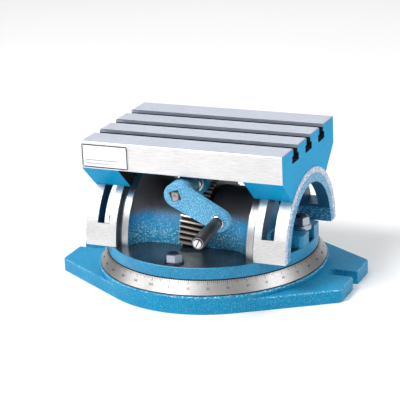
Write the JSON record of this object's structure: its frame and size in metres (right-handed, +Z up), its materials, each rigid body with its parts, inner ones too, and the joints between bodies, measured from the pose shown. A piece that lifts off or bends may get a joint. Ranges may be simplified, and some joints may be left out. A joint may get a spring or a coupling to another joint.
{
  "type": "tilting rotary table",
  "caption": "Tilting and swivelling T-slotted work table on a degree-marked round base, tilted by a worm and crank and clamped on two half-round arches.",
  "frame": {"origin": "centre of the base's underside", "axes": "+Z up, X along the T-slots and between the two base lugs, the crank on the -Y side"},
  "size_m": [0.364, 0.3142, 0.183],
  "materials": {
    "blue_enamel": "hammered blue enamel on cast iron",
    "ground_cast_iron": "ground top and edges, blue enamel below",
    "ground_steel": "turned, with engraved degree marks",
    "gear_steel": "cut and oiled",
    "black_steel": "blackened",
    "bright_steel": "machined bright",
    "black_plastic": "moulded phenolic",
    "printed_plate": "anodised with a printed border"
  },
  "bodies": {
    "base": {"base_casting": "blue_enamel", "degree_ring": "ground_steel"},
    "swivel": {"swivel_disc": "blue_enamel", "swivel_drum": "blue_enamel", "arch_right": "ground_cast_iron", "arch_left": "ground_cast_iron", "worm_gear_sector": "gear_steel", "sector_screws": "black_steel", "lock_studs": "black_steel", "lock_washers": "bright_steel", "pad_washers": "bright_steel"},
    "nut_front": {"lock_nut_front": "bright_steel"},
    "nut_back": {"lock_nut_back": "bright_steel"},
    "nut_right": {"lock_nut_right": "bright_steel"},
    "nut_left": {"lock_nut_left": "bright_steel"},
    "table": {"table_casting": "ground_cast_iron", "name_plate": "printed_plate", "plate_rivets": "bright_steel", "oil_nipple": "bright_steel", "worm_housing": "blue_enamel", "housing_screws": "black_steel", "worm_bushes": "bright_steel", "clamp_washers": "bright_steel"},
    "bolt_front_right": {"clamp_bolt_front_right": "black_steel"},
    "bolt_back_right": {"clamp_bolt_back_right": "black_steel"},
    "bolt_front_left": {"clamp_bolt_front_left": "black_steel"},
    "bolt_back_left": {"clamp_bolt_back_left": "black_steel"},
    "crank": {"worm_shaft": "bright_steel", "thrust_collar_front": "bright_steel", "thrust_collar_rear": "bright_steel", "collar_pins": "bright_steel", "crank_arm": "blue_enamel", "handle_spindle": "bright_steel", "spindle_collar": "bright_steel", "grip_screw": "bright_steel"},
    "grip": {"grip": "black_plastic"}
  },
  "joints": [
    {"name": "swivel_turn", "type": "hinge", "parent": "base", "child": "swivel", "pos_m": [0, 0, 0.038], "axis": [0, 0, 1], "continuous": true},
    {"name": "table_tilt", "type": "hinge", "parent": "swivel", "child": "table", "pos_m": [0, 0, 0.053], "axis": [-1, 0, 0], "range_deg": [-3, 45]},
    {"name": "crank_turn", "type": "hinge", "parent": "table", "child": "crank", "pos_m": [0, 0, 0.131], "axis": [0, 1, 0], "range_deg": [-204, 3060]},
    {"name": "grip_spin", "type": "hinge", "parent": "crank", "child": "grip", "pos_m": [0.05212, -0.104, 0.10444], "axis": [-0.0622, 0.9976, 0.0317], "continuous": true},
    {"name": "lock_nut_front_turn", "type": "hinge", "parent": "swivel", "child": "nut_front", "pos_m": [0, -0.1155, 0.06], "axis": [0, 0, 1], "range_deg": [0, 180]},
    {"name": "lock_nut_back_turn", "type": "hinge", "parent": "swivel", "child": "nut_back", "pos_m": [0, 0.1155, 0.06], "axis": [0, 0, 1], "range_deg": [0, 180]},
    {"name": "lock_nut_right_turn", "type": "hinge", "parent": "swivel", "child": "nut_right", "pos_m": [0.1155, 0, 0.06], "axis": [0, 0, 1], "range_deg": [0, 180]},
    {"name": "lock_nut_left_turn", "type": "hinge", "parent": "swivel", "child": "nut_left", "pos_m": [-0.1155, 0, 0.06], "axis": [0, 0, 1], "range_deg": [0, 180]},
    {"name": "clamp_bolt_front_right_turn", "type": "hinge", "parent": "table", "child": "bolt_front_right", "pos_m": [0.10525, -0.02932, 0.12743], "axis": [0, 0.3665, -0.9304], "range_deg": [0, 180]},
    {"name": "clamp_bolt_back_right_turn", "type": "hinge", "parent": "table", "child": "bolt_back_right", "pos_m": [0.10525, 0.02932, 0.12743], "axis": [0, -0.3665, -0.9304], "range_deg": [0, 180]},
    {"name": "clamp_bolt_front_left_turn", "type": "hinge", "parent": "table", "child": "bolt_front_left", "pos_m": [-0.10525, -0.02932, 0.12743], "axis": [0, 0.3665, -0.9304], "range_deg": [0, 180]},
    {"name": "clamp_bolt_back_left_turn", "type": "hinge", "parent": "table", "child": "bolt_back_left", "pos_m": [-0.10525, 0.02932, 0.12743], "axis": [0, -0.3665, -0.9304], "range_deg": [0, 180]}
  ],
  "couplings": [
    {"joint": "crank_turn", "follows": "table_tilt", "ratio": 68}
  ]
}
